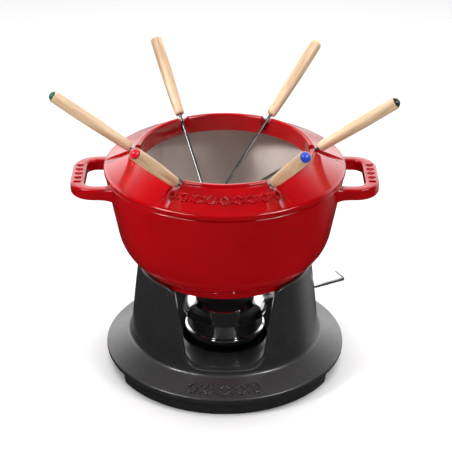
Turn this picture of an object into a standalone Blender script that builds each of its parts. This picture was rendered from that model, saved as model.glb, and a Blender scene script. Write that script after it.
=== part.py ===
"""Fondue pot set: stand, pot, fork guide ring, paste burner with a regulator, and six forks.

Frame: metres, +Z up. The origin is on the pot's axis, on the surface that the stand's foot rests on.
+X runs through the pot's right handle, and the front of the set faces -Y.
Lengths are written in millimetres times MM.
"""
import math

import bmesh
import bpy
from mathutils import Matrix, Vector

MM = 0.001

# ---- driving dimensions ---------------------------------------------------------------------
RIM_RADIUS = 99.3 * MM             # outer radius of the pot's rim: a 20 cm pot
RIM_HEIGHT = 177.8 * MM            # top of the rim above the table
GAP = 0.3 * MM                     # clearance between pieces that touch
ROUND_STEPS = 48                   # sides of the large turned shapes
BURNER_STEPS = 36                  # sides of the burner's turned shapes
CUP_STEPS = 24                     # sides of the pieces inside the burner
FORK_STEPS = 12                    # sides of a fork's handle

# ---- stand ----------------------------------------------------------------------------------
FOOT_OUTER = 99.5 * MM
FOOT_INNER = 92.0 * MM
FLANGE_RADIUS = 103.1 * MM
ARCH_AZIMUTHS = (0, 180)           # degrees: the foot is cut away under the flange at both sides
ARCH_HALF_ANGLE = math.radians(31.7)
ARCH_TOP = 10.4 * MM
ARCH_TAPER = 0.9                   # width of the arch's top over its width at the table
SKIRT_BASE_RADIUS = 80.9 * MM
SKIRT_TOP_RADIUS = 73.8 * MM
SKIRT_BASE_HEIGHT = 33.0 * MM
LEG_TOP = 95.7 * MM
LEDGE_TOP = 91.7 * MM              # the ledges that carry the pot's foot
LEDGE_OUTER = 70.3 * MM
LEDGE_INNER = 66.2 * MM
WINDOW_SILL = 31.0 * MM
WINDOW_HALF_WIDTH = 33.0 * MM      # at the top of the bottom corners
WINDOW_FLARE = 0.165               # growth of the half width per unit of height
WINDOW_CORNER = 12.0 * MM
LEG_CORNER = 8.5 * MM
WINDOW_AZIMUTHS = (30, 150, 270)   # degrees
WELL_RADIUS = 36.5 * MM            # the round well that the burner stands in
WELL_WALL = 3.5 * MM
WELL_FLOOR = 4.0 * MM
DECK_INNER = 21.6 * MM             # height of the dished deck around the well
DECK_OUTER = 28.8 * MM             # and where the deck meets the skirt

# ---- pot ------------------------------------------------------------------------------------
POT_WALL = 4.7 * MM
POT_FOOT_RADIUS = 69.6 * MM
POT_FOOT_BOTTOM = LEDGE_TOP + GAP
POT_FLOOR = 99.7 * MM
POT_UNDERSIDE = 95.2 * MM
BELLY_RADIUS = 44.0 * MM           # radius of the curve between the wall and the foot
BELLY_CENTRE = (46.3 * MM, 133.7 * MM)
WALL_ANGLE = math.radians(10.7)    # the wall widens upward
HANDLE_TOP = 173.5 * MM
HANDLE_THICKNESS = 10.0 * MM
HANDLE_REACH = 127.0 * MM
HANDLE_HALF_WIDTH = 34.0 * MM
HANDLE_CORNER = 20.0 * MM
HANDLE_BAR = 11.5 * MM             # thickness of the outer bar, seen from above
HANDLE_ARM = 9.0 * MM              # thickness of the two arms

# ---- fork guide ring ------------------------------------------------------------------------
RING_BOTTOM = RIM_HEIGHT + GAP
RING_RADIUS = 100.0 * MM
LIP_OUTER = 73.6 * MM
LIP_INNER = 69.5 * MM
LIP_TOP = 196.8 * MM
COLLAR_BOTTOM = 181.5 * MM
NOTCH_RADIUS = 3.9 * MM
NOTCH_LIFT = 0.6 * MM              # the notch's centre above the fork's rod

# ---- forks ----------------------------------------------------------------------------------
NOTCH_POINT_RADIUS = 75.8 * MM     # where each fork's axis passes over the ring
NOTCH_POINT_HEIGHT = 195.0 * MM
HANDLE_START = 3.0 * MM            # the wood's lower end, along the fork from that point
HANDLE_END = 79.4 * MM
ROD_RADIUS = 1.35 * MM
ROD_INSET = 25.0 * MM              # length of rod inside the wood
TINE_TIP = 143.0 * MM              # distance from the notch point to the tips of the tines
TINE_LENGTH = 17.0 * MM
TINE_SPREAD = 3.0 * MM
TINE_SLOT = 1.5 * MM
TINE_HALF_THICKNESS = 0.7 * MM
CAP_RADIUS = 3.9 * MM
# number: (notch azimuth, turn of the fork away from radial, slope, cap colour name), degrees
FORKS = {
    1: (0, -15.0, 37.0, "black"),
    2: (60, -14.5, 41.0, "yellow"),
    3: (120, -8.0, 40.0, "white"),
    4: (180, 3.5, 37.5, "green"),
    5: (240, 3.0, 39.0, "red"),
    6: (300, -10.0, 38.0, "blue"),
}
CAP_COLOURS = {
    "black": (0.03, 0.03, 0.035, 1.0),
    "yellow": (0.75, 0.68, 0.25, 1.0),
    "white": (0.85, 0.84, 0.80, 1.0),
    "green": (0.03, 0.16, 0.10, 1.0),
    "red": (0.65, 0.02, 0.04, 1.0),
    "blue": (0.03, 0.07, 0.50, 1.0),
}

# ---- burner ---------------------------------------------------------------------------------
BOWL_BOTTOM = WELL_FLOOR + GAP
BOWL_RADIUS = 34.6 * MM
WAIST_RADIUS = 32.8 * MM
WAIST_TOP = 43.6 * MM
SHEET = 0.8 * MM                   # thickness of the burner's sheet metal
DOME_RADIUS = 34.3 * MM            # outer radius of the fixed cover's dome
DOME_BASE = 46.5 * MM
DOME_TOP = 63.6 * MM
FLAME_RADIUS = 15.5 * MM
SHELL_SPACE = 0.4 * MM             # space between the cover and the turning ring
VENT_AZIMUTHS = (45, 135, 225, 315)
VENT_SIZE = 7.0 * MM
VENT_HEIGHT = 58.0 * MM
LEVER_AZIMUTH = 28.0               # degrees
LEVER_TOP = 46.7 * MM
LEVER_WIDTH = 14.4 * MM
LEVER_DEPTH = 3.2 * MM
LEVER_SHEET = 1.0 * MM
LEVER_START = 37.5 * MM
LEVER_TIP = 118.0 * MM
TAB_TOP = 45.4 * MM
TAB_THICKNESS = 1.2 * MM
TAB_WIDTH = 10.0 * MM
TAB_END = 56.0 * MM
RIVET_RADII = (43.0 * MM, 51.0 * MM)
RIVET_SHANK = 1.5 * MM
RIVET_HEAD = 2.7 * MM
RIVET_HEAD_HEIGHT = 1.1 * MM
RIVET_HOLE = RIVET_SHANK + GAP


# ---- helpers --------------------------------------------------------------------------------
def clear_scene():
    for item in list(bpy.data.objects):
        bpy.data.objects.remove(item, do_unlink=True)


def material(name, colour, roughness, metallic):
    found = bpy.data.materials.get(name)
    if found:
        return found
    made = bpy.data.materials.new(name)
    made.use_nodes = True
    shader = made.node_tree.nodes["Principled BSDF"]
    shader.inputs["Base Color"].default_value = colour
    shader.inputs["Roughness"].default_value = roughness
    shader.inputs["Metallic"].default_value = metallic
    made.diffuse_color = colour
    return made


def enamel():
    return material("red_enamel", (0.42, 0.004, 0.006, 1.0), 0.12, 0.0)


def cast_iron():
    return material("black_cast_iron", (0.045, 0.043, 0.045, 1.0), 0.55, 0.35)


def chrome():
    return material("chrome", (0.78, 0.78, 0.79, 1.0), 0.08, 1.0)


def steel():
    return material("fork_steel", (0.62, 0.62, 0.63, 1.0), 0.22, 1.0)


def cup_steel():
    return material("cup_steel", (0.58, 0.58, 0.59, 1.0), 0.35, 1.0)


def wood():
    return material("pale_wood", (0.72, 0.50, 0.28, 1.0), 0.5, 0.0)


def wadding():
    return material("wadding", (0.80, 0.78, 0.72, 1.0), 0.95, 0.0)


def cap_plastic(colour_name):
    return material("cap_" + colour_name, CAP_COLOURS[colour_name], 0.2, 0.0)


def mesh_from(name, shape):
    """Turn a closed bmesh into a mesh whose faces point out."""
    bmesh.ops.recalc_face_normals(shape, faces=shape.faces)
    mesh = bpy.data.meshes.new(name)
    shape.to_mesh(mesh)
    shape.free()
    return mesh


def add_object(name, mesh, finish):
    mesh.materials.clear()
    mesh.materials.append(finish)
    mesh.shade_smooth()
    mesh.set_sharp_from_angle(angle=math.radians(32))
    made = bpy.data.objects.new(name, mesh)
    bpy.context.collection.objects.link(made)
    return made


def turned(name, profile, steps):
    """Turn an outline of (radius, height) points about +Z. Ends at radius 0 close with a point."""
    shape = bmesh.new()
    rings = []
    for radius, height in profile:
        if radius == 0.0:
            rings.append([shape.verts.new((0.0, 0.0, height))])
            continue
        turns = [math.tau * step / steps for step in range(steps)]
        rings.append([shape.verts.new((radius * math.cos(a), radius * math.sin(a), height)) for a in turns])
    open_ended = profile[0][0] == 0.0 and profile[-1][0] == 0.0
    pairs = list(zip(rings, rings[1:]))
    if not open_ended:
        pairs.append((rings[-1], rings[0]))
    for low, high in pairs:
        for step in range(steps):
            after = (step + 1) % steps
            if len(low) == 1:
                shape.faces.new((low[0], high[after], high[step]))
            elif len(high) == 1:
                shape.faces.new((low[step], low[after], high[0]))
            else:
                shape.faces.new((low[step], low[after], high[after], high[step]))
    return mesh_from(name, shape)


def prism(name, outline, depth):
    """Extrude a flat outline in local X and Y from z = 0 to z = depth."""
    shape = bmesh.new()
    base = shape.faces.new([shape.verts.new((x, y, 0.0)) for x, y in outline])
    grown = bmesh.ops.extrude_face_region(shape, geom=[base])
    raised = [item for item in grown["geom"] if isinstance(item, bmesh.types.BMVert)]
    bmesh.ops.translate(shape, verts=raised, vec=(0.0, 0.0, depth))
    return mesh_from(name, shape)


def box(name, low, high):
    outline = [(low[0], low[1]), (high[0], low[1]), (high[0], high[1]), (low[0], high[1])]
    mesh = prism(name, outline, high[2] - low[2])
    mesh.transform(Matrix.Translation((0.0, 0.0, low[2])))
    return mesh


def combined(target, tool_mesh, operation):
    """Apply a Boolean of a tool mesh to an object's own mesh, then discard the tool."""
    tool = bpy.data.objects.new("tool", tool_mesh)
    bpy.context.collection.objects.link(tool)
    cut = target.modifiers.new("cut", "BOOLEAN")
    cut.operation = operation
    cut.solver = "EXACT"
    cut.object = tool
    bpy.context.view_layer.update()
    graph = bpy.context.evaluated_depsgraph_get()
    result = bpy.data.meshes.new_from_object(target.evaluated_get(graph))
    target.modifiers.clear()
    target.data = result
    bpy.data.objects.remove(tool, do_unlink=True)
    result.shade_smooth()
    result.set_sharp_from_angle(angle=math.radians(32))


def arc(centre, radius, start, end, count):
    """Points on a circle from one angle to another, in degrees, both ends included."""
    angles = [math.radians(start + (end - start) * step / (count - 1)) for step in range(count)]
    return [(centre[0] + radius * math.cos(a), centre[1] + radius * math.sin(a)) for a in angles]


def turn_z(degrees):
    return Matrix.Rotation(math.radians(degrees), 4, "Z")


def face_on(start):
    """Stand a prism up: its outline's X runs across, its Y runs up, and its depth runs outward."""
    return Matrix(((0, 0, 1, start), (1, 0, 0, 0), (0, 1, 0, 0), (0, 0, 0, 1)))


# ---- stand ----------------------------------------------------------------------------------
def stand_profile():
    lip = [(FOOT_OUTER, 9.8 * MM), (102.0 * MM, 11.0 * MM), (FLANGE_RADIUS, 12.2 * MM)]
    edge = [(FLANGE_RADIUS, 15.4 * MM), (102.2 * MM, 16.6 * MM), (86.0 * MM, 25.0 * MM)]
    fillet = [(82.2 * MM, 27.6 * MM), (SKIRT_BASE_RADIUS, SKIRT_BASE_HEIGHT)]
    leg = [(SKIRT_TOP_RADIUS, LEG_TOP - 1.3 * MM), (73.0 * MM, LEG_TOP), (LEDGE_OUTER, LEG_TOP)]
    ledge = [(LEDGE_OUTER, LEDGE_TOP), (LEDGE_INNER, LEDGE_TOP)]
    deck = [(73.9 * MM, 30.4 * MM), (72.5 * MM, DECK_OUTER), (WELL_RADIUS + 1.7 * MM, DECK_INNER),
            (WELL_RADIUS, DECK_INNER - 1.0 * MM)]
    well = [(WELL_RADIUS, WELL_FLOOR), (0.0, WELL_FLOOR)]
    under_well = [(0.0, 0.0), (WELL_RADIUS + WELL_WALL, 0.0)]
    under_deck = [(WELL_RADIUS + WELL_WALL, 17.5 * MM), (76.0 * MM, 23.6 * MM), (91.2 * MM, 12.6 * MM)]
    foot = [(FOOT_INNER, 0.0), (FOOT_OUTER - 0.8 * MM, 0.0), (FOOT_OUTER, 0.8 * MM)]
    return under_well + under_deck + foot + lip + edge + fillet + leg + ledge + deck + well


def window_outline():
    """Half of a U-shaped opening seen face on, mirrored: across and height."""
    centre_across = WINDOW_HALF_WIDTH - WINDOW_CORNER
    corner = arc((centre_across, WINDOW_SILL + WINDOW_CORNER), WINDOW_CORNER, -90, 0, 5)
    bend = LEG_TOP - LEG_CORNER
    half_at_bend = WINDOW_HALF_WIDTH + WINDOW_FLARE * (bend - WINDOW_SILL - WINDOW_CORNER)
    flare = arc((half_at_bend + LEG_CORNER, bend), LEG_CORNER, 180, 100, 4)
    top = [(flare[-1][0], LEG_TOP + 10 * MM)]
    right = corner + flare + top
    left = [(-across, height) for across, height in reversed(right)]
    return right + left


def make_stand():
    stand = add_object("stand", turned("stand", stand_profile(), ROUND_STEPS), cast_iron())
    inner_reach = 38.0 * MM
    outer_reach = 115.0 * MM
    for azimuth in WINDOW_AZIMUTHS:
        window = prism("window", window_outline(), outer_reach - inner_reach)
        window.transform(turn_z(azimuth) @ face_on(inner_reach))
        combined(stand, window, "DIFFERENCE")
    near, far, below = 60.0 * MM, 130.0 * MM, 2.0 * MM
    widening = math.tan(ARCH_HALF_ANGLE)
    wedge = [(near, -near * widening), (far, -far * widening), (far, far * widening), (near, near * widening)]
    for azimuth in ARCH_AZIMUTHS:
        arch = prism("arch", wedge, ARCH_TOP + below)
        for corner in arch.vertices:
            corner.co.y *= ARCH_TAPER if corner.co.z > 0.0 else 1.0
        arch.transform(turn_z(azimuth) @ Matrix.Translation((0.0, 0.0, -below)))
        combined(stand, arch, "DIFFERENCE")


# ---- pot ------------------------------------------------------------------------------------
def wall_point(height, inset):
    """A point on the pot's straight wall, inset from its outer face."""
    slope = math.tan(WALL_ANGLE)
    return (RIM_RADIUS - (RIM_HEIGHT - height) * slope - inset / math.cos(WALL_ANGLE), height)


def pot_profile():
    belly_end = -math.degrees(WALL_ANGLE)
    outer_start = -57.0
    inner_start = -59.9
    under = [(0.0, POT_UNDERSIDE), (64.0 * MM, POT_UNDERSIDE), (65.4 * MM, POT_FOOT_BOTTOM)]
    foot = [(POT_FOOT_RADIUS - 0.8 * MM, POT_FOOT_BOTTOM), (POT_FOOT_RADIUS, POT_FOOT_BOTTOM + 0.8 * MM),
            (POT_FOOT_RADIUS, POT_FOOT_BOTTOM + 4.2 * MM)]
    belly = arc(BELLY_CENTRE, BELLY_RADIUS, outer_start, belly_end, 7)
    rim_outer = [wall_point(RIM_HEIGHT - 0.8 * MM, 0), (RIM_RADIUS - 0.9 * MM, RIM_HEIGHT)]
    rim_inner = [(wall_point(RIM_HEIGHT, POT_WALL)[0] + 0.7 * MM, RIM_HEIGHT),
                 wall_point(RIM_HEIGHT - 0.8 * MM, POT_WALL)]
    inside = arc(BELLY_CENTRE, BELLY_RADIUS - POT_WALL, belly_end, inner_start, 6)
    floor = [(0.0, POT_FLOOR)]
    return under + foot + belly + rim_outer + rim_inner + inside + floor


def handle_outline():
    """The loop handle seen from above, as a U with its ends inside the pot's wall."""
    corner = HANDLE_REACH - HANDLE_CORNER
    outer = arc((corner, HANDLE_HALF_WIDTH - HANDLE_CORNER), HANDLE_CORNER, 0, 90, 5)
    inner_corner = 9.0 * MM
    inner_reach = HANDLE_REACH - HANDLE_BAR
    inner_half = HANDLE_HALF_WIDTH - HANDLE_ARM
    inner = arc((inner_reach - inner_corner, inner_half - inner_corner), inner_corner, 90, 0, 4)
    upper = outer + [(88.8 * MM, HANDLE_HALF_WIDTH), (91.6 * MM, inner_half)] + inner
    lower = [(x, -y) for x, y in reversed(upper)]
    return upper + lower


def make_pot():
    pot = add_object("pot", turned("pot", pot_profile(), ROUND_STEPS), enamel())
    for azimuth in (0, 180):
        loop = prism("loop", handle_outline(), HANDLE_THICKNESS)
        loop.transform(turn_z(azimuth) @ Matrix.Translation((0, 0, HANDLE_TOP - HANDLE_THICKNESS)))
        combined(pot, loop, "UNION")


# ---- fork guide ring ------------------------------------------------------------------------
def ring_profile():
    edge = [(99.2 * MM, RING_BOTTOM), (RING_RADIUS, 179.0 * MM), (RING_RADIUS, 181.8 * MM),
            (98.8 * MM, 183.3 * MM)]
    lip = [(LIP_OUTER, 194.6 * MM), (71.6 * MM, LIP_TOP), (70.0 * MM, 196.4 * MM), (LIP_INNER, 195.3 * MM)]
    collar = [(LIP_INNER, COLLAR_BOTTOM + 0.6 * MM), (70.2 * MM, COLLAR_BOTTOM), (73.0 * MM, COLLAR_BOTTOM)]
    under = [(73.4 * MM, 190.3 * MM), (90.4 * MM, 182.7 * MM)]
    locating_bead = [(90.6 * MM, 175.8 * MM), (92.9 * MM, 175.8 * MM), (93.3 * MM, RING_BOTTOM)]
    return edge + lip + collar + under + locating_bead


def notch_tool(azimuth, slope):
    """A channel with a round bottom, open upward, that runs along a fork through the lip."""
    bottom = arc((0.0, 0.0), NOTCH_RADIUS, 180, 360, 7)
    outline = [(-NOTCH_RADIUS, 14 * MM)] + bottom + [(NOTCH_RADIUS, 14 * MM)]
    length = 24.0 * MM
    tool = prism("notch", outline, length)
    tilt = Matrix.Rotation(-math.radians(slope), 4, "Y")
    lift = Matrix.Translation((0, 0, NOTCH_LIFT))
    place = Matrix.Translation((NOTCH_POINT_RADIUS, 0, NOTCH_POINT_HEIGHT))
    tool.transform(turn_z(azimuth) @ place @ tilt @ lift @ face_on(-0.75 * length))
    return tool


def make_guide_ring():
    ring = add_object("fork_guide_ring", turned("fork_guide_ring", ring_profile(), ROUND_STEPS), enamel())
    common_slope = sum(fork[2] for fork in FORKS.values()) / len(FORKS)
    for azimuth, _, _, _ in FORKS.values():
        combined(ring, notch_tool(azimuth, common_slope), "DIFFERENCE")


# ---- forks, built along +X from the notch point -------------------------------------------------
ALONG_X = Matrix.Rotation(math.radians(90), 4, "Y")


def rod_mesh():
    """A round rod that flattens into a head with two pointed tines. It runs from the tips to the wood."""
    shape = bmesh.new()
    head = TINE_TIP - TINE_LENGTH
    corners = [(TINE_SPREAD, -1), (TINE_SPREAD, 1), (TINE_SLOT, 1), (-TINE_SLOT, 1),
               (-TINE_SPREAD, 1), (-TINE_SPREAD, -1), (-TINE_SLOT, -1), (TINE_SLOT, -1)]
    flat = [(across, side * TINE_HALF_THICKNESS) for across, side in corners]
    eighths = [math.radians(-22.5 + 45 * step) for step in range(8)]
    round_section = [(ROD_RADIUS * math.cos(a), ROD_RADIUS * math.sin(a)) for a in eighths]
    stations = [(HANDLE_START + ROD_INSET, round_section), (-head + 9 * MM, round_section),
                (-head + 3 * MM, flat), (-head, flat)]
    rings = [[shape.verts.new((x, across, up)) for across, up in section] for x, section in stations]
    for first, second in zip(rings, rings[1:]):
        for step in range(8):
            after = (step + 1) % 8
            shape.faces.new((first[step], first[after], second[after], second[step]))
    shape.faces.new(rings[0])
    last = rings[-1]
    shape.faces.new((last[2], last[3], last[6], last[7]))
    for root in ((last[0], last[1], last[2], last[7]), (last[3], last[4], last[5], last[6])):
        middle = sum((v.co.y for v in root)) / 4
        tip = [shape.verts.new((-TINE_TIP, middle + 0.25 * (v.co.y - middle), 0.3 * v.co.z)) for v in root]
        for step in range(4):
            after = (step + 1) % 4
            shape.faces.new((root[step], root[after], tip[after], tip[step]))
        shape.faces.new(tip)
    return mesh_from("fork_shaft", shape)


def handle_mesh():
    """Turned wood with a blind bore for the rod and a shallow recess for the cap."""
    bore = ROD_RADIUS + GAP
    bore_end = HANDLE_START + ROD_INSET + GAP
    recess = CAP_RADIUS + GAP
    recess_floor = HANDLE_END - 2.0 * MM
    profile = [(0.0, bore_end), (bore, bore_end), (bore, HANDLE_START), (2.9 * MM, HANDLE_START),
               (4.0 * MM, 4.4 * MM), (4.6 * MM, 18.0 * MM), (5.2 * MM, 46.0 * MM), (5.1 * MM, 68.0 * MM),
               (4.8 * MM, HANDLE_END - 0.7 * MM), (recess + 0.2 * MM, HANDLE_END),
               (recess, HANDLE_END - 0.3 * MM), (recess, recess_floor), (0.0, recess_floor)]
    mesh = turned("fork_handle", profile, FORK_STEPS)
    mesh.transform(ALONG_X)
    return mesh


def cap_mesh():
    base = HANDLE_END - 2.0 * MM + GAP
    dome = arc((0.0, HANDLE_END - 0.4 * MM), CAP_RADIUS, 0, 90, 4)[:-1]
    flattened = [(radius, HANDLE_END - 0.4 * MM + 0.85 * (z - HANDLE_END + 0.4 * MM)) for radius, z in dome]
    top = (0.0, HANDLE_END - 0.4 * MM + 0.85 * CAP_RADIUS)
    profile = [(0.0, base), (CAP_RADIUS, base)] + flattened + [top]
    mesh = turned("fork_cap", profile, FORK_STEPS)
    mesh.transform(ALONG_X)
    return mesh


def make_forks():
    rod = rod_mesh()
    grip = handle_mesh()
    for number, (azimuth, turn, slope, colour_name) in FORKS.items():
        around = math.radians(azimuth)
        point = Vector((NOTCH_POINT_RADIUS * math.cos(around), NOTCH_POINT_RADIUS * math.sin(around),
                        NOTCH_POINT_HEIGHT))
        lean = turn_z(azimuth + turn) @ Matrix.Rotation(-math.radians(slope), 4, "Y")
        pieces = [
            add_object(f"fork_{number}_shaft", rod, steel()),
            add_object(f"fork_{number}_handle", grip, wood()),
            add_object(f"fork_{number}_cap", cap_mesh(), cap_plastic(colour_name)),
        ]
        for piece in pieces:
            piece.matrix_world = Matrix.Translation(point) @ lean


# ---- burner ---------------------------------------------------------------------------------
def dome_points(offset):
    """The dome's outline, from its base to the flame opening, grown outward by an offset."""
    span = DOME_RADIUS - FLAME_RADIUS
    rise = DOME_TOP - DOME_BASE
    points = []
    for angle in (0, 18, 36, 54, 72, 88):
        a = math.radians(angle)
        radius = FLAME_RADIUS + (span + offset) * math.cos(a)
        points.append((radius, DOME_BASE + (rise + offset) * math.sin(a)))
    return points


def vent_tool(azimuth):
    """A square bar that passes through the dome's shoulder, at right angles to it."""
    half = VENT_SIZE / 2
    tool = box("vent", (-6 * MM, -half, -half), (6 * MM, half, half))
    tilt = Matrix.Rotation(-math.radians(48), 4, "Y")
    place = Matrix.Translation((28.6 * MM, 0, VENT_HEIGHT))
    tool.transform(turn_z(azimuth) @ place @ tilt)
    return tool


def make_bowl():
    inner = WAIST_RADIUS - SHEET
    profile = [(0.0, BOWL_BOTTOM), (21.5 * MM, BOWL_BOTTOM), (25.4 * MM, 6.4 * MM), (29.0 * MM, 11.5 * MM),
               (32.4 * MM, 19.5 * MM), (BOWL_RADIUS, 28.8 * MM), (BOWL_RADIUS, 30.4 * MM),
               (WAIST_RADIUS, 31.6 * MM), (WAIST_RADIUS, WAIST_TOP), (inner, WAIST_TOP),
               (inner, 23.0 * MM), (28.2 * MM, 12.0 * MM),
               (24.6 * MM, 7.0 * MM), (21.2 * MM, BOWL_BOTTOM + SHEET), (0.0, BOWL_BOTTOM + SHEET)]
    add_object("burner_bowl", turned("burner_bowl", profile, BURNER_STEPS), chrome())


def make_cup():
    bottom = BOWL_BOTTOM + SHEET + GAP
    top = 50.0 * MM
    shoulder = bottom + 12 * MM
    profile = [(0.0, bottom), (19.0 * MM, bottom), (23.0 * MM, bottom + 4 * MM), (26.0 * MM, shoulder),
               (26.0 * MM, top), (25.2 * MM, top), (25.2 * MM, shoulder), (22.3 * MM, bottom + 4.5 * MM),
               (18.6 * MM, bottom + SHEET), (0.0, bottom + SHEET)]
    add_object("fuel_cup", turned("fuel_cup", profile, CUP_STEPS), cup_steel())


def make_wadding():
    bottom = BOWL_BOTTOM + 2 * SHEET + 2 * GAP
    top = 44.0 * MM
    profile = [(0.0, bottom), (18.0 * MM, bottom), (21.5 * MM, bottom + 4.2 * MM),
               (24.4 * MM, bottom + 12 * MM), (24.4 * MM, top - 1 * MM), (23.4 * MM, top), (0.0, top)]
    add_object("fuel_wadding", turned("fuel_wadding", profile, CUP_STEPS), wadding())


def make_gauze():
    bottom = 44.3 * MM
    profile = [(0.0, bottom), (24.6 * MM, bottom), (24.6 * MM, bottom + 2.0 * MM),
               (23.9 * MM, bottom + 2.0 * MM), (23.6 * MM, bottom + 0.7 * MM), (0.0, bottom + 0.7 * MM)]
    add_object("fuel_gauze", turned("fuel_gauze", profile, CUP_STEPS), cup_steel())


def make_cover():
    base = WAIST_TOP + GAP
    outer = [(DOME_RADIUS, base)] + dome_points(0.0)
    inner = [(radius, height) for radius, height in reversed(dome_points(-SHEET))]
    ledge = [(DOME_RADIUS - SHEET, base + SHEET), (31.4 * MM, base + SHEET), (31.4 * MM, base)]
    profile = outer + inner + ledge
    cover = add_object("burner_cover", turned("burner_cover", profile, BURNER_STEPS), chrome())
    for azimuth in VENT_AZIMUTHS:
        combined(cover, vent_tool(azimuth), "DIFFERENCE")


def make_regulator():
    ring_offset = SHELL_SPACE + SHEET
    skirt = TAB_TOP - TAB_THICKNESS
    inner = [(radius, height) for radius, height in reversed(dome_points(SHELL_SPACE))]
    profile = [(DOME_RADIUS + ring_offset + 0.6 * MM, skirt)] + dome_points(ring_offset) + inner
    profile += [(DOME_RADIUS + SHELL_SPACE, skirt)]
    ring = add_object("regulator_ring", turned("regulator_ring", profile, BURNER_STEPS), chrome())
    tab_start = DOME_RADIUS + SHELL_SPACE + 0.3 * MM
    tab = box("tab", (tab_start, -TAB_WIDTH / 2, skirt), (TAB_END, TAB_WIDTH / 2, TAB_TOP))
    tab.transform(turn_z(LEVER_AZIMUTH))
    combined(ring, tab, "UNION")
    for azimuth in VENT_AZIMUTHS:
        combined(ring, vent_tool(azimuth), "DIFFERENCE")
    half = LEVER_WIDTH / 2
    edge = LEVER_TOP - LEVER_DEPTH
    across = [(-half, edge), (-half + LEVER_SHEET, edge), (-half + LEVER_SHEET, LEVER_TOP - LEVER_SHEET),
              (half - LEVER_SHEET, LEVER_TOP - LEVER_SHEET), (half - LEVER_SHEET, edge), (half, edge),
              (half, LEVER_TOP), (-half, LEVER_TOP)]
    channel = prism("regulator_lever", across, LEVER_TIP - LEVER_START)
    channel.transform(turn_z(LEVER_AZIMUTH) @ face_on(LEVER_START))
    lever = add_object("regulator_lever", channel, chrome())
    for number, reach in enumerate(RIVET_RADII, start=1):
        place = turn_z(LEVER_AZIMUTH) @ Matrix.Translation((reach, 0, 0))
        for piece in (ring, lever):
            low = 40 * MM
            high = 50 * MM
            hole = turned("hole", [(0.0, low), (RIVET_HOLE, low), (RIVET_HOLE, high), (0.0, high)], 12)
            hole.transform(place)
            combined(piece, hole, "DIFFERENCE")
        under = TAB_TOP - TAB_THICKNESS - GAP
        over = LEVER_TOP + GAP
        profile = [(0.0, under - RIVET_HEAD_HEIGHT), (RIVET_HEAD * 0.6, under - RIVET_HEAD_HEIGHT),
                   (RIVET_HEAD, under), (RIVET_SHANK, under), (RIVET_SHANK, over), (RIVET_HEAD, over),
                   (RIVET_HEAD * 0.6, over + RIVET_HEAD_HEIGHT), (0.0, over + RIVET_HEAD_HEIGHT)]
        rivet = turned("rivet", profile, 12)
        rivet.transform(place)
        add_object(f"lever_rivet_{number}", rivet, cup_steel())


def main():
    clear_scene()
    make_stand()
    make_pot()
    make_guide_ring()
    make_forks()
    make_bowl()
    make_cup()
    make_wadding()
    make_gauze()
    make_cover()
    make_regulator()


main()
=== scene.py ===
"""The looks of the fondue pot set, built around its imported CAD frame.

Frame: metres, +Z up, the origin on the pot's axis at table level, and the front faces -Y.
Every visible CAD node is stood for by a finer piece of the same size in the same place.
Lengths are written in millimetres times MM, but the camera, floor and lights are in plain metres.
"""
import math

import bmesh
import bpy
import numpy as np
from mathutils import Matrix, Vector


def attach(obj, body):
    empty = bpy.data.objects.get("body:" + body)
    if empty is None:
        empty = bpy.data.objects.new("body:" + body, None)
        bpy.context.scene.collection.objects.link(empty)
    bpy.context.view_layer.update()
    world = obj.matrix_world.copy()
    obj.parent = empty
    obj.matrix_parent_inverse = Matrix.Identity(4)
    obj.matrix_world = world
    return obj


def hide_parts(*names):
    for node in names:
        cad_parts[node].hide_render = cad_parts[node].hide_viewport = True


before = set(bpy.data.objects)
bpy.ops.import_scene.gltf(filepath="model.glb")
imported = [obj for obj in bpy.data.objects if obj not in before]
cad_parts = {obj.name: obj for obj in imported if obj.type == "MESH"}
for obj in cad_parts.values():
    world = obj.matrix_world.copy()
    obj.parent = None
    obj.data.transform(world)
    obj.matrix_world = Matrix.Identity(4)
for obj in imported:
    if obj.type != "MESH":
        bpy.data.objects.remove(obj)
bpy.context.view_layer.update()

MM = 0.001
RING_STEPS = 288                   # sides of the pot and the guide ring
STAND_STEPS = 216
BURNER_STEPS = 144

# ---- sizes, the same as in the CAD ----------------------------------------------------------
RIM_RADIUS = 99.3 * MM
RIM_HEIGHT = 177.8 * MM
WALL_ANGLE = math.radians(10.7)
POT_WALL = 4.7 * MM
BELLY_CENTRE = (46.3 * MM, 133.7 * MM)
BELLY_RADIUS = 44.0 * MM
NOTCH_POINT = (75.8 * MM, 195.0 * MM)
LOOP_OUTER = 127 * MM               # the pot's loop handles: how far out the bar lies
LOOP_INNER = 115.5 * MM
LOOP_LOW = 163.5 * MM
LOOP_HIGH = 173.5 * MM
HANDLE_START = 3.0 * MM            # the forks' wood handles, along the fork from its notch
HANDLE_END = 79.4 * MM
FORKS = {                          # number: (notch azimuth, turn, slope, cap colour), in degrees
    1: (0, -15.0, 37.0, "black"),
    2: (60, -14.5, 41.0, "yellow"),
    3: (120, -8.0, 40.0, "white"),
    4: (180, 3.5, 37.5, "green"),
    5: (240, 3.0, 39.0, "red"),
    6: (300, -10.0, 38.0, "blue"),
}
LEVER_AZIMUTH = 28.0
LEVER_HEIGHT = 46.7 * MM
WINDOW_AZIMUTHS = (30, 150, 270)
FLANGE_RIM = (103.1, 16.0)         # radius and height in mm of the sloping flange's lower edge
FLANGE_TOP = (82.6, 26.6)
CONE_RIM = (98.2, 183.6)           # the same for the guide ring's sloping top
CONE_TOP = (74.4, 194.2)
ARCH_AZIMUTHS = (0, 180)
ARCH_HALF_ANGLE = math.radians(31.7)
ARCH_TOP = 10.4 * MM
ARCH_TAPER = 0.9
VENT_AZIMUTHS = (45, 135, 225, 315)
FLAME_RADIUS = 15.5 * MM
COVER_RADIUS = 34.3 * MM
COVER_TOP = 63.6 * MM
SHOULDER_HEIGHT = 46.5 * MM        # where the burner's domes start
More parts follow.
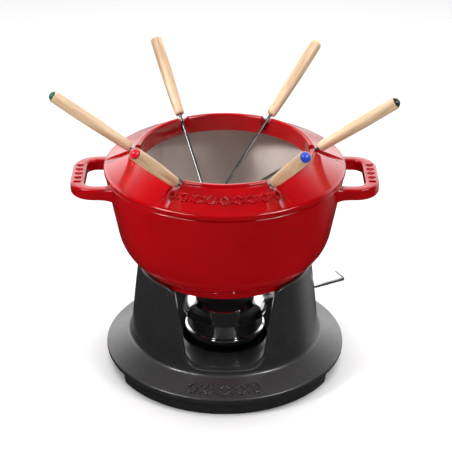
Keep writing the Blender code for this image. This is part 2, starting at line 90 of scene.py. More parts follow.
SKIRT_HEIGHT = 44.2 * MM           # the lower edge of the regulator


# ---- materials --------------------------------------------------------------------------------
class Look:
    """One Principled material, with helpers for its procedural detail."""

    def __init__(self, name, roughness, metallic=0.0):
        self.material = bpy.data.materials.new(name)
        self.material.use_nodes = True
        self.nodes = self.material.node_tree.nodes
        self.links = self.material.node_tree.links
        self.shader = self.nodes["Principled BSDF"]
        self.put("Roughness", roughness)
        self.put("Metallic", metallic)

    def put(self, socket, value):
        self.shader.inputs[socket].default_value = value

    def feed(self, socket, output):
        self.links.new(output, self.shader.inputs[socket])

    def noise(self, size, detail=3.0, stretch=(1, 1, 1), distortion=0.0, rough=0.5):
        """Noise in object space whose features are about as long as size."""
        coords = self.nodes.new("ShaderNodeTexCoord")
        mapping = self.nodes.new("ShaderNodeMapping")
        mapping.inputs["Scale"].default_value = [1.0 / (size * part) for part in stretch]
        node = self.nodes.new("ShaderNodeTexNoise")
        node.inputs["Scale"].default_value = 1.0
        node.inputs["Detail"].default_value = detail
        node.inputs["Roughness"].default_value = rough
        node.inputs["Distortion"].default_value = distortion
        self.links.new(coords.outputs["Object"], mapping.inputs["Vector"])
        self.links.new(mapping.outputs["Vector"], node.inputs["Vector"])
        return node.outputs["Fac"]

    def ramp(self, factor, *stops):
        """A colour ramp. Each stop is a place from 0 to 1 and a colour."""
        node = self.nodes.new("ShaderNodeValToRGB")
        points = node.color_ramp.elements
        while len(points) < len(stops):
            points.new(0.5)
        for point, (place, colour) in zip(points, stops):
            point.position = place
            point.color = (*colour, 1.0)
        self.links.new(factor, node.inputs["Fac"])
        return node.outputs["Color"]

    def range(self, factor, low, high, start=0.3, end=0.7):
        node = self.nodes.new("ShaderNodeMapRange")
        for socket, value in zip(("From Min", "From Max", "To Min", "To Max"), (start, end, low, high)):
            node.inputs[socket].default_value = value
        self.links.new(factor, node.inputs["Value"])
        return node.outputs["Result"]

    def mix(self, factor, first, second, blend="MIX"):
        """Blend two colours. The factor is a number or an output."""
        node = self.nodes.new("ShaderNodeMix")
        node.data_type = "RGBA"
        node.blend_type = blend
        if isinstance(factor, float):
            node.inputs["Factor"].default_value = factor
        else:
            self.links.new(factor, node.inputs["Factor"])
        for socket, value in ((6, first), (7, second)):
            if isinstance(value, tuple):
                node.inputs[socket].default_value = (*value, 1.0)
            else:
                self.links.new(value, node.inputs[socket])
        return node.outputs[2]

    def bump(self, height, depth, under=None):
        """Bump of a height output, chained onto an earlier bump. Depth is in metres."""
        node = self.nodes.new("ShaderNodeBump")
        node.inputs["Strength"].default_value = 1.0
        node.inputs["Distance"].default_value = depth
        self.links.new(height, node.inputs["Height"])
        if under is not None:
            self.links.new(under, node.inputs["Normal"])
        return node.outputs["Normal"]


def make_enamel():
    """Cherry enamel: pools of deeper colour, fine specks and a faint ripple under the gloss."""
    look = Look("cherry_enamel", 0.10)
    pools = look.ramp(look.noise(26 * MM, 2.0), (0.35, (0.292, 0.0004, 0.0020)),
                      (0.65, (0.318, 0.0005, 0.0026)))
    specks = look.range(look.noise(0.5 * MM, 1.0), 0.0, 0.16, 0.62, 0.75)
    look.feed("Base Color", look.mix(specks, pools, (0.200, 0.001, 0.002)))
    look.put("IOR", 1.55)
    ripple = look.bump(look.noise(9 * MM, 1.0), 0.018 * MM)
    look.feed("Normal", look.bump(look.noise(1.1 * MM, 1.0), 0.0015 * MM, ripple))
    return look.material


def make_lining():
    """Pale enamel inside the pot, with a few fine specks."""
    look = Look("ivory_enamel", 0.13)
    tone = look.ramp(look.noise(30 * MM, 2.0), (0.35, (0.52, 0.460, 0.420)), (0.65, (0.57, 0.505, 0.460)))
    specks = look.range(look.noise(0.6 * MM, 1.0), 0.0, 0.3, 0.68, 0.78)
    look.feed("Base Color", look.mix(specks, tone, (0.42, 0.36, 0.31)))
    look.put("IOR", 1.55)
    look.feed("Normal", look.bump(look.noise(8 * MM, 1.0), 0.05 * MM))
    return look.material


def make_base_enamel():
    """Matt black enamel under the pot, where the flame plays."""
    look = Look("black_enamel", 0.45)
    grain = look.noise(1.2 * MM, 2.0)
    look.feed("Base Color", look.ramp(grain, (0.3, (0.012, 0.011, 0.012)), (0.7, (0.028, 0.026, 0.027))))
    look.feed("Normal", look.bump(grain, 0.08 * MM))
    return look.material


def make_iron():
    """Sand-cast iron under matt black enamel: a fine grain with broad soft unevenness."""
    look = Look("cast_iron_black", 0.42)
    grain = look.noise(0.75 * MM, 2.0, rough=0.6)
    broad = look.noise(12 * MM, 2.0)
    tone = look.ramp(grain, (0.30, (0.010, 0.0090, 0.0098)), (0.72, (0.034, 0.0310, 0.0330)))
    patches = look.ramp(broad, (0.3, (0.013, 0.012, 0.013)), (0.7, (0.026, 0.024, 0.026)))
    look.feed("Base Color", look.mix(0.35, tone, patches))
    look.feed("Roughness", look.range(grain, 0.50, 0.34))
    look.put("IOR", 1.6)
    look.put("Specular IOR Level", 0.28)
    look.put("Coat Weight", 0.5)
    look.put("Coat Roughness", 0.14)
    pits = look.bump(look.noise(2.4 * MM, 2.0), 0.16 * MM)
    look.feed("Normal", look.bump(grain, 0.20 * MM, pits))
    look.feed("Coat Normal", look.bump(grain, 0.05 * MM))
    return look.material


def make_chrome():
    """Mirror chrome on pressed steel, with a trace of polishing marks."""
    look = Look("mirror_chrome", 0.06, 1.0)
    marks = look.noise(5 * MM, 3.0, stretch=(1, 1, 0.08))
    look.feed("Base Color", look.ramp(marks, (0.3, (0.74, 0.74, 0.76)), (0.7, (0.84, 0.84, 0.85))))
    look.feed("Roughness", look.range(marks, 0.04, 0.10))
    look.feed("Normal", look.bump(look.noise(9 * MM, 1.0), 0.03 * MM))
    return look.material


def make_steel(name, roughness, stretch, tone=0.33):
    """Drawn, rolled or plated steel, with fine marks along its working direction."""
    look = Look(name, roughness, 1.0)
    marks = look.noise(0.6 * MM, 2.0, stretch=stretch)
    look.feed("Base Color", look.ramp(marks, (0.3, (0.91 * tone,) * 3), (0.7, (1.09 * tone,) * 3)))
    look.feed("Roughness", look.range(marks, roughness - 0.06, roughness + 0.10))
    look.feed("Normal", look.bump(marks, 0.002 * MM))
    return look.material


def make_gauze_look():
    """Woven wire: two crossed sets of waves pressed into the disc, with painted shade in the gaps between the
    wires.
    """
    wire_pitch = 1.3 * MM
    wave_length = 0.314                # of the wave texture at a scale of 1
    look = Look("wire_gauze", 0.35, 1.0)
    coords = look.nodes.new("ShaderNodeTexCoord")
    heights = []
    for axis in ("X", "Y"):
        wave = look.nodes.new("ShaderNodeTexWave")
        wave.bands_direction = axis
        wave.inputs["Scale"].default_value = wave_length / wire_pitch
        look.links.new(coords.outputs["Object"], wave.inputs["Vector"])
        heights.append(wave.outputs["Fac"])
    top = look.nodes.new("ShaderNodeMath")
    top.operation = "MAXIMUM"
    look.links.new(heights[0], top.inputs[0])
    look.links.new(heights[1], top.inputs[1])
    wires = top.outputs[0]
    # The gaps between the wires get near-black colour: painted shade in the mesh openings, not the wire's own
    # colour.
    look.feed("Base Color", look.ramp(wires, (0.45, (0.03, 0.03, 0.03)), (0.75, (0.55, 0.54, 0.52))))
    look.feed("Normal", look.bump(wires, 0.35 * MM))
    return look.material


def make_wood():
    """Pale beech along the handle: soft bands, fine pores and short flecks under thin lacquer."""
    look = Look("pale_beech", 0.42)
    bands = look.noise(2.6 * MM, 3.0, stretch=(16, 1, 1), distortion=0.4)
    base = look.ramp(bands, (0.30, (0.390, 0.245, 0.132)), (0.50, (0.545, 0.378, 0.228)),
                     (0.72, (0.645, 0.482, 0.318)))
    grain = look.noise(0.36 * MM, 2.0, stretch=(14, 1, 1))
    pores = look.range(grain, 0.0, 0.55, 0.60, 0.74)
    flecks = look.range(look.noise(0.9 * MM, 1.0, stretch=(4, 1, 1)), 0.0, 0.35, 0.64, 0.72)
    toned = look.mix(flecks, base, (0.470, 0.285, 0.140))
    look.feed("Base Color", look.mix(pores, toned, (0.400, 0.235, 0.110)))
    look.feed("Roughness", look.range(bands, 0.34, 0.50))
    look.put("Coat Weight", 0.15)
    look.put("Coat Roughness", 0.22)
    look.feed("Normal", look.bump(grain, 0.03 * MM))
    return look.material


def make_wadding_look():
    """Fibrous pad: tangled pale fibres."""
    look = Look("fuel_pad", 0.95)
    fibres = look.noise(0.5 * MM, 4.0, stretch=(1, 4, 1), distortion=1.5)
    look.feed("Base Color", look.ramp(fibres, (0.3, (0.55, 0.52, 0.45)), (0.7, (0.83, 0.81, 0.74))))
    look.feed("Normal", look.bump(fibres, 0.5 * MM))
    return look.material


CAP_COLOURS = {
    "black": (0.020, 0.022, 0.022),
    "yellow": (0.760, 0.660, 0.240),
    "white": (0.740, 0.640, 0.480),
    "green": (0.014, 0.085, 0.058),
    "red": (0.620, 0.005, 0.022),
    "blue": (0.018, 0.060, 0.520),
}


def make_cap_look(colour_name):
    """Glossy moulded plastic with a faint mottle."""
    look = Look("cap_" + colour_name, 0.16)
    colour = CAP_COLOURS[colour_name]
    darker = tuple(0.82 * part for part in colour)
    look.feed("Base Color", look.ramp(look.noise(1.4 * MM, 2.0), (0.35, darker), (0.6, colour)))
    look.feed("Normal", look.bump(look.noise(2.4 * MM, 1.0), 0.02 * MM))
    return look.material


ENAMEL = make_enamel()
LINING = make_lining()
BASE = make_base_enamel()
IRON = make_iron()
CHROME = make_chrome()
ROD_STEEL = make_steel("drawn_steel", 0.20, (30, 1, 1), 0.20)
CUP_STEEL = make_steel("satin_steel", 0.32, (1, 1, 12))
LEVER_PLATE = make_steel("satin_chrome", 0.36, (10, 1, 1), 0.85)
GAUZE = make_gauze_look()
WOOD = make_wood()
WADDING = make_wadding_look()


# ---- meshes -----------------------------------------------------------------------------------
def arc(centre, radius, start, end, count):
    """Points on a circle from one angle to another, in degrees, both ends included."""
    angles = [math.radians(start + (end - start) * step / (count - 1)) for step in range(count)]
    return [(centre[0] + radius * math.cos(a), centre[1] + radius * math.sin(a)) for a in angles]


NEARLY_STRAIGHT = math.radians(89.5)   # half of an open corner
LONGEST_REACH = 0.46                   # the part of a side that a rounded corner may take


def rounded(corners, closed=True, segments=5):
    """Round a polyline's corners. Each corner is (across, up, radius); radius 0 stays sharp."""
    count = len(corners)
    points = []
    for index, (x, y, radius) in enumerate(corners):
        here = Vector((x, y))
        if radius == 0.0 or (not closed and index in (0, count - 1)):
            points.append((x, y))
            continue
        before = Vector(corners[index - 1][:2]) - here
        after = Vector(corners[(index + 1) % count][:2]) - here
        half = before.angle(after) / 2
        if half > NEARLY_STRAIGHT:
            points.append((x, y))
            continue
        reach = min(radius / math.tan(half), LONGEST_REACH * before.length, LONGEST_REACH * after.length)
        radius = reach * math.tan(half)
        centre = here + (before.normalized() + after.normalized()).normalized() * (radius / math.sin(half))
        first = here + before.normalized() * reach - centre
        last = here + after.normalized() * reach - centre
        turn = first.angle_signed(last)
        for step in range(segments + 1):
            swung = first.copy()
            swung.rotate(Matrix.Rotation(-turn * step / segments, 2))
            points.append(tuple(centre + swung))
    return points


def rounded_mm(corners, **settings):
    """Round corners that are written in millimetres."""
    return rounded([(x * MM, y * MM, r * MM) for x, y, r in corners], **settings)


def smooth_curve(points, per_span=6):
    """A Catmull-Rom curve through the points."""
    path = [Vector(point) for point in points]
    path = [2 * path[0] - path[1]] + path + [2 * path[-1] - path[-2]]
    out = []
    for a, b, c, d in zip(path, path[1:], path[2:], path[3:]):
        for step in range(per_span):
            t = step / per_span
            out.append(tuple(0.5 * ((2 * b) + (c - a) * t + (2 * a - 5 * b + 4 * c - d) * t * t
                                    + (3 * b - a - 3 * c + d) * t ** 3)))
    out.append(tuple(path[-2]))
    return out


def mesh_of(name, points, faces):
    mesh = bpy.data.meshes.new(name)
    mesh.from_pydata([tuple(point) for point in points], [], faces)
    mesh.update()
    return mesh


def closed_mesh(name, points, faces):
    """A mesh whose faces all point out."""
    mesh = mesh_of(name, points, faces)
    shape = bmesh.new()
    shape.from_mesh(mesh)
    bmesh.ops.recalc_face_normals(shape, faces=shape.faces)
    shape.to_mesh(mesh)
    shape.free()
    return mesh


def add_tube(points, faces, rings):
    """Add a tube through rings of equally many points, with both ends closed."""
    start, sides = len(points), len(rings[0])
    for ring in rings:
        points.extend(ring)
    for station in range(len(rings) - 1):
        low = start + station * sides
        for step in range(sides):
            after = (step + 1) % sides
            faces.append([low + step, low + after, low + sides + after, low + sides + step])
    faces.append([start + step for step in range(sides)])
    faces.append([start + (len(rings) - 1) * sides + step for step in range(sides)])


def coords_of(mesh):
    """A mesh's vertices, one row each."""
    flat = np.empty(len(mesh.vertices) * 3)
    mesh.vertices.foreach_get("co", flat)
    return flat.reshape(-1, 3)


def set_coords(mesh, spots):
    mesh.vertices.foreach_set("co", spots.ravel())
    mesh.update()


def turned_mesh(name, outline, steps=RING_STEPS, turns=None):
    """Turn an outline of (radius, height) about +Z.

    An outline that starts and ends on the axis is capped there. turns gives uneven column angles.
    """
    if turns is None:
        turns = [math.tau * step / steps for step in range(steps)]
    steps = len(turns)
    points = []
    rows = []
    for radius, height in outline:
        if radius == 0.0:
            rows.append([len(points)] * steps)
            points.append((0.0, 0.0, height))
            continue
        rows.append(list(range(len(points), len(points) + steps)))
        points += [(radius * math.cos(a), radius * math.sin(a), height) for a in turns]
    pairs = list(zip(rows, rows[1:]))
    if outline[0][0] != 0.0:
        pairs.append((rows[-1], rows[0]))
    faces = []
    for low, high in pairs:
        for step in range(steps):
            after = (step + 1) % steps
            corners = [low[step], low[after], high[after], high[step]]
            faces.append(list(dict.fromkeys(corners)))
    return closed_mesh(name, points, faces)


def piece(name, mesh, look, body, nodes=(), sharp=40, place=None):
    """Show a mesh as a piece that rides on a body, in place of the CAD nodes."""
    mesh.materials.clear()
    for item in look if isinstance(look, (list, tuple)) else [look]:
        mesh.materials.append(item)
    mesh.shade_smooth()
    mesh.set_sharp_from_angle(angle=math.radians(sharp))
    made = bpy.data.objects.new(name, mesh)
    bpy.context.collection.objects.link(made)
    if place is not None:
        made.matrix_world = place
    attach(made, body)
    if nodes:
        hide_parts(*nodes)
    return made


def box_mesh(low, high):
    points = [(x, y, z) for x in (low[0], high[0]) for y in (low[1], high[1]) for z in (low[2], high[2])]
    faces = [(0, 1, 3, 2), (4, 6, 7, 5), (0, 4, 5, 1), (2, 3, 7, 6), (0, 2, 6, 4), (1, 5, 7, 3)]
    return closed_mesh("box", points, faces)


def prism_mesh(outline, depth):
    """Extrude a flat outline in local X and Y from z = 0 to z = depth."""
    count = len(outline)
    points = [(x, y, 0.0) for x, y in outline] + [(x, y, depth) for x, y in outline]
    faces = [list(range(count)), list(range(count, 2 * count))]
    faces += [[step, (step + 1) % count, count + (step + 1) % count, count + step] for step in range(count)]
    return closed_mesh("prism", points, faces)


def combined(mesh, tool_mesh, operation, place=None):
    """The Boolean of two meshes, as a new mesh."""
    target = bpy.data.objects.new("target", mesh)
    tool = bpy.data.objects.new("tool", tool_mesh)
    if place is not None:
        tool.matrix_world = place
    for item in (target, tool):
        bpy.context.collection.objects.link(item)
    cut = target.modifiers.new("cut", "BOOLEAN")
    cut.operation = operation
    cut.solver = "EXACT"
    cut.object = tool
    bpy.context.view_layer.update()
    graph = bpy.context.evaluated_depsgraph_get()
    result = bpy.data.meshes.new_from_object(target.evaluated_get(graph))
    for item in (target, tool):
        bpy.data.objects.remove(item, do_unlink=True)
    return result


def with_modifiers(mesh, *settings):
    """Apply a stack of modifiers to a mesh. Each setting is (type, {property: value})."""
    holder = bpy.data.objects.new("holder", mesh)
    bpy.context.collection.objects.link(holder)
    for kind, values in settings:
        step = holder.modifiers.new(kind.lower(), kind)
        for key, value in values.items():
            setattr(step, key, value)
    bpy.context.view_layer.update()
    graph = bpy.context.evaluated_depsgraph_get()
    result = bpy.data.meshes.new_from_object(holder.evaluated_get(graph))
    bpy.data.objects.remove(holder, do_unlink=True)
    return result


def turn_z(degrees):
    return Matrix.Rotation(math.radians(degrees), 4, "Z")


def face_on(start):
    """Stand a prism up: its X runs across, its Y runs up, and its depth runs outward."""
    return Matrix(((0, 0, 1, start), (1, 0, 0, 0), (0, 1, 0, 0), (0, 0, 0, 1)))


# ---- raised ornament --------------------------------------------------------------------------
def lozenge(centre, half_width, half_height):
    x, y = centre
    return [(x - half_width, y), (x, y - half_height), (x + half_width, y), (x, y + half_height)]


def lozenge_strokes(centre, half_width, half_height, stroke):
    """The four sides of a lozenge as separate strokes."""
    gap = 0.10                         # the part of a side left open at each of its ends
    corners = [Vector(spot) for spot in lozenge(centre, half_width, half_height)]
    strokes = []
    for index, start in enumerate(corners):
        end = corners[(index + 1) % 4]
        along = (end - start).normalized()
        side = Vector((-along.y, along.x)) * stroke / 2
        start, end = start.lerp(end, gap), end.lerp(start, gap)
        strokes.append([tuple(start - side), tuple(end - side), tuple(end + side), tuple(start + side)])
    return strokes


def lozenge_chain(count, pitch, size, stroke, stud, stud_reach):
    """Outlined lozenges in a row, with two small solid ones in each gap. Sizes are half sizes."""
    outlines = []
    for step in range(count):
        across = (step - (count - 1) / 2) * pitch
        outlines += lozenge_strokes((across, 0.0), *size, stroke)
        if step < count - 1:
            for along in (-stud_reach, stud_reach):
                outlines.append(lozenge((across + pitch / 2, along), *stud))
    return outlines


def bar(centre, half_width, half_height):
    x, y = centre
    return [(x - half_width, y - half_height), (x + half_width, y - half_height),
            (x + half_width, y + half_height), (x - half_width, y + half_height)]


def cone_front(rim, top, middle_radius, middle_height):
    """A surface for relief on the front of a cone, given by its rim and its top in mm.

    across runs round the cone, along runs up its slope, and up leaves its surface.
    """
    slope = math.atan2(top[1] - rim[1], rim[0] - top[0])

    def surface(across, along, up):
        radius = middle_radius - along * math.cos(slope) + up * math.sin(slope)
        height = middle_height + along * math.sin(slope) + up * math.cos(slope)
        turn = math.radians(270) + across / middle_radius
        return (radius * math.cos(turn), radius * math.sin(turn), height)

    return surface


PILLOW_LEVELS = ((0.0, -0.25), (0.0, 0.45), (0.18, 0.80), (0.42, 0.97), (0.70, 1.0))   # inset, lift
PILLOW_WIDTH = 1.6                 # a full inset, in heights of the relief
PILLOW_CORNER = 0.5 * MM


def raised_mesh(outlines, surface, height):
    """Low pillows with these flat outlines. surface(across, along, up) gives a point in space."""
    points = []
    faces = []
    for outline in outlines:
        edge = [Vector(spot) for spot in rounded([(x, y, PILLOW_CORNER) for x, y in outline], segments=4)]
        middle = Vector((sum(spot.x for spot in edge) / len(edge), sum(spot.y for spot in edge) / len(edge)))
        furthest_in = 0.8 * min((spot - middle).length for spot in edge)
        rings = []
        for inset, lift in PILLOW_LEVELS:
            reach = min(inset * height * PILLOW_WIDTH, furthest_in)
            moved = [spot + (middle - spot).normalized() * reach for spot in edge]
            rings.append([surface(spot.x, spot.y, lift * height) for spot in moved])
        add_tube(points, faces, rings)
    return closed_mesh("raised", points, faces)


# ---- stand ------------------------------------------------------------------------------------
def stand_outline():
    corners = [
        (0.0, 0.0, 0.0), (40.0, 0.0, 0.8), (40.0, 17.5, 3.0), (76.0, 23.6, 4.0), (91.2, 12.6, 3.0),
        (92.0, 0.0, 0.8), (99.5, 0.0, 1.0), (99.5, 9.8, 0.6), (102.0, 11.0, 0.8), (103.1, 12.2, 0.7),
        (*FLANGE_RIM, 0.9), (*FLANGE_TOP, 4.5), (80.9, 33.0, 0.0), (73.8, 95.7, 1.4), (70.3, 95.7, 0.6),
        (70.3, 91.7, 0.5), (66.2, 91.7, 1.0), (73.9, 30.4, 1.2), (72.5, 28.8, 1.2), (38.2, 21.6, 1.2),
        (36.5, 20.6, 1.2), (36.5, 4.0, 2.0), (0.0, 4.0, 0.0),
    ]
    return rounded_mm(corners, closed=False, segments=6)


def window_outline():
    """A U-shaped opening seen face on: across and height."""
    sill, corner_radius, half_width, flare, top = 31 * MM, 12 * MM, 33 * MM, 0.165, 95.7 * MM
    leg_corner = 8.5 * MM
    corner = arc((half_width - corner_radius, sill + corner_radius), corner_radius, -90, 0, 12)
    bend = top - leg_corner
    half_at_bend = half_width + flare * (bend - sill - corner_radius)
    leg = arc((half_at_bend + leg_corner, bend), leg_corner, 180, 97, 10)
    right = corner + leg + [(leg[-1][0], top + 10 * MM)]
    return right + [(-across, height) for across, height in reversed(right)]


def arch_mesh(below):
    """A wedge that cuts the foot ring away at one side, slightly narrower at its top."""
    near, far = 60 * MM, 130 * MM
    widening = math.tan(ARCH_HALF_ANGLE)
    wedge = [(near, -near * widening), (far, -far * widening), (far, far * widening), (near, near * widening)]
    arch = prism_mesh(wedge, ARCH_TOP + below)
    for corner in arch.vertices:
        corner.co.y *= ARCH_TAPER if corner.co.z > 0.0 else 1.0
    return arch


def make_stand():
    """The casting, remeshed and smoothed for its soft cast edges, with its sole pressed flat again."""
    mesh = turned_mesh("stand", stand_outline(), STAND_STEPS)
    for azimuth in WINDOW_AZIMUTHS:
        window = prism_mesh(window_outline(), 80 * MM)
        mesh = combined(mesh, window, "DIFFERENCE", turn_z(azimuth) @ face_on(38 * MM))
    below = 2 * MM
    for azimuth in ARCH_AZIMUTHS:
        place = turn_z(azimuth) @ Matrix.Translation((0, 0, -below))
        mesh = combined(mesh, arch_mesh(below), "DIFFERENCE", place)
    voxel = 0.85 * MM
    mesh = with_modifiers(
        mesh,
        ("REMESH", {"mode": "VOXEL", "voxel_size": voxel, "adaptivity": 0.0}),
        ("SMOOTH", {"factor": 0.5, "iterations": 5}),
    )
    sole = 0.35 * MM
    spots = coords_of(mesh)
    spots[:, 2] = np.where(spots[:, 2] < sole, 0.0, spots[:, 2])
    set_coords(mesh, spots)
    piece("stand_casting", mesh, IRON, "stand", ["stand"], sharp=75)

    flange = cone_front(FLANGE_RIM, FLANGE_TOP, 94.2 * MM, 20.57 * MM)
    outlines = lozenge_chain(5, 13.2 * MM, (4.3 * MM, 5.6 * MM), 2.2 * MM, (1.3 * MM, 1.6 * MM), 3.2 * MM)
    piece("stand_relief", raised_mesh(outlines, flange, 1.3 * MM), IRON, "stand")


# ---- pot --------------------------------------------------------------------------------------
def wall_point(height, inset):
    """A point on the pot's straight wall, inset from its outer face."""
    slope = math.tan(WALL_ANGLE)
    return (RIM_RADIUS - (RIM_HEIGHT - height) * slope - inset / math.cos(WALL_ANGLE), height)


def pot_outline():
    """The pot's outline, and the index from which it is lined, just inside the rim."""
    belly_end = -math.degrees(WALL_ANGLE)
    floor_height = 99.7 * MM
    belly = arc(BELLY_CENTRE, BELLY_RADIUS, -57.0, belly_end, 30)[1:]
    inside = arc(BELLY_CENTRE, BELLY_RADIUS - POT_WALL, belly_end, -59.9, 26)
    under = rounded([(0.0, 95.2 * MM, 0.0), (64.0 * MM, 95.2 * MM, 1.0 * MM),
                     (65.6 * MM, 92.0 * MM, 0.8 * MM), (69.6 * MM, 92.0 * MM, 1.3 * MM),
                     (69.6 * MM, 96.2 * MM, 1.2 * MM), (*belly[0], 0.0)], closed=False)[:-1]
    rim = rounded([(*belly[-1], 0.0), (*wall_point(RIM_HEIGHT, 0), 1.2 * MM),
                   (*wall_point(RIM_HEIGHT, POT_WALL), 1.2 * MM), (*inside[0], 0.0)], closed=False)[1:-1]
    floor = smooth_curve([inside[-1], (60 * MM, 99.85 * MM), (50 * MM, floor_height)], 4)[1:]
    outline = under + belly + rim + inside + floor + [(0.0, floor_height)]
    return outline, len(under) + len(belly) + len(rim) - 2


def handle_mesh(side):
    """A loop handle: a rounded bar swept round the loop, with flared roots sunk in the pot's wall."""
    outer = [(x * MM, 34 * MM) for x in (88, 91, 94, 97, 102)]
    outer += arc((107 * MM, 14 * MM), 20 * MM, 90, 0, 14)
    outer += [(LOOP_OUTER, y) for y in (9 * MM, 4.5 * MM)]
    inner = [(x * MM, 25 * MM) for x in (91, 92.5, 94, 97, 102)]
    inner += arc((106.5 * MM, 16 * MM), 9 * MM, 90, 0, 14)
    inner += [(LOOP_INNER, y) for y in (9 * MM, 4.5 * MM)]
    half = list(zip(outer, inner))
    mirrored = [((o[0], -o[1]), (i[0], -i[1])) for o, i in reversed(half)]
    stations = half + [((LOOP_OUTER, 0.0), (LOOP_INNER, 0.0))] + mirrored
    section = rounded([(0.0, 0.0, 0.24), (1.0, 0.0, 0.24), (1.0, 1.0, 0.17), (0.0, 1.0, 0.17)], segments=5)
    rings = []
    for out, inn in stations:
        out, inn = Vector(out), Vector(inn)
        root = max(0.0, (100.5 * MM - out.x) / (9 * MM)) ** 2     # grows toward the pot's wall
        across = (out - inn).normalized() * root * 1.8 * MM
        out, inn = out + across, inn - across
        low = LOOP_LOW - root * 1.6 * MM
        high = LOOP_HIGH + root * 0.6 * MM
        spots = [(inn.lerp(out, w), low + (high - low) * h) for w, h in section]
        rings.append([(side * spot.x, spot.y, height) for spot, height in spots])
    points, faces = [], []
    add_tube(points, faces, rings)
    return closed_mesh("handle", points, faces)


def make_pot():
    """The shell with its three finishes, and the two loop handles with their raised bars."""
    outline, lined_from = pot_outline()
    outside, inside, under = range(3)
    under_rows = 3
    mesh = turned_mesh("pot", outline)
    shell = piece("pot_shell", mesh, [ENAMEL, LINING, BASE], "pot", ["pot"], sharp=60)
    for face in shell.data.polygons:
        row = face.index // RING_STEPS
        face.material_index = inside if row >= lined_from else under if row < under_rows else outside
    pitch = 8.0 * MM
    outlines = [bar((step * pitch, 0.0), 1.9 * MM, 3.1 * MM) for step in range(-2, 3)]
    outlines += [bar(((step + 0.5) * pitch, 0.0), 0.7 * MM, 1.0 * MM) for step in range(-2, 2)]
    for side, name in ((1, "right"), (-1, "left")):
        piece(f"pot_handle_{name}", handle_mesh(side), ENAMEL, "pot", sharp=60)

        def handle_top(across, along, up, side=side):
            """A point on top of the handle's outer bar."""
            return (side * (121.2 * MM + along), across, LOOP_HIGH + up)

        relief = raised_mesh(outlines, handle_top, 0.9 * MM)
        piece(f"handle_relief_{name}", relief, ENAMEL, "pot")


# ---- fork guide ring --------------------------------------------------------------------------
def ring_outline():
    """The ring's section, with extra points where the notches bend it."""
    corners = [
        (99.2, 178.1, 0.5), (100.0, 179.0, 0.6), (100.0, 182.2, 1.6), (*CONE_RIM, 1.2), (*CONE_TOP, 1.6),
        (73.4, 196.8, 1.6), (69.5, 196.8, 1.7), (69.5, 181.5, 0.7), (73.0, 181.5, 0.6), (73.4, 190.3, 0.6),
        (90.4, 182.7, 0.8), (90.6, 175.8, 0.8), (93.0, 175.8, 0.8), (93.3, 178.1, 0.4),
    ]
    longest = 0.9 * MM
    dense = []
    points = rounded_mm(corners, segments=6)
    for index, point in enumerate(points):
        here, after = Vector(point), Vector(points[(index + 1) % len(points)])
        at_notch = here.x < 82 * MM and here.y > 181 * MM
        parts = max(1, round((after - here).length / longest)) if at_notch else 1
        dense += [tuple(here.lerp(after, step / parts)) for step in range(parts)]
    return dense


def ring_turns():
    """Column angles: even all round, and fine at the six notches."""
    fine_step, fine_count = 0.18, 24
    turns = {round(360 * step / RING_STEPS, 4) for step in range(RING_STEPS)}
    for azimuth in (fork[0] for fork in FORKS.values()):
        turns |= {round((azimuth + fine_step * step) % 360, 4) for step in range(-fine_count, fine_count + 1)}
    return [math.radians(turn) for turn in sorted(turns)]


def make_guide_ring():
    """The ring, with six rounded channels pressed down through its lip where the forks rest."""
    mesh = turned_mesh("fork_guide_ring", ring_outline(), turns=ring_turns())
    spots = coords_of(mesh)
    slope = math.radians(sum(fork[2] for fork in FORKS.values()) / len(FORKS))
    radius = 3.9 * MM                  # of a channel
    margin = 0.9 * MM
    blend = 0.5 * MM
    side_slope = 9.0                   # of a channel's sides, above its round bottom
    for azimuth in (fork[0] for fork in FORKS.values()):
        turn = math.radians(azimuth)
        out = spots[:, 0] * math.cos(turn) + spots[:, 1] * math.sin(turn)
        across = -spots[:, 0] * math.sin(turn) + spots[:, 1] * math.cos(turn)
        inside = (out > 0) & (np.abs(across) < radius + margin)
        axis = NOTCH_POINT[1] + 0.6 * MM / math.cos(slope) + (out - NOTCH_POINT[0]) * math.tan(slope)
        drop = np.sqrt(np.maximum(radius ** 2 - across ** 2, 0.0)) / math.cos(slope)
        past = np.maximum(np.abs(across) - radius, 0.0)
        channel = np.where(past > 0, axis + past * side_slope, axis - drop)
        gap = np.clip((spots[:, 2] - channel + blend) / (2 * blend), 0.0, 1.0)
        lowered = spots[:, 2] * (1 - gap) + channel * gap - blend * gap * (1 - gap)
        lowered = np.maximum(lowered, 181.5 * MM)
        spots[:, 2] = np.where(inside & (spots[:, 2] > 181.0 * MM), lowered, spots[:, 2])
    set_coords(mesh, spots)
    piece("guide_ring", mesh, ENAMEL, "guide_ring", ["fork_guide_ring"], sharp=60)

    cone = cone_front(CONE_RIM, CONE_TOP, 85.6 * MM, 189.21 * MM)
    outlines = lozenge_chain(9, 10.6 * MM, (3.7 * MM, 4.8 * MM), 1.9 * MM, (1.0 * MM, 1.3 * MM), 2.5 * MM)
    piece("ring_relief", raised_mesh(outlines, cone, 1.2 * MM), ENAMEL, "guide_ring")


# ---- forks ------------------------------------------------------------------------------------
ALONG_X = Matrix.Rotation(math.radians(90), 4, "Y")


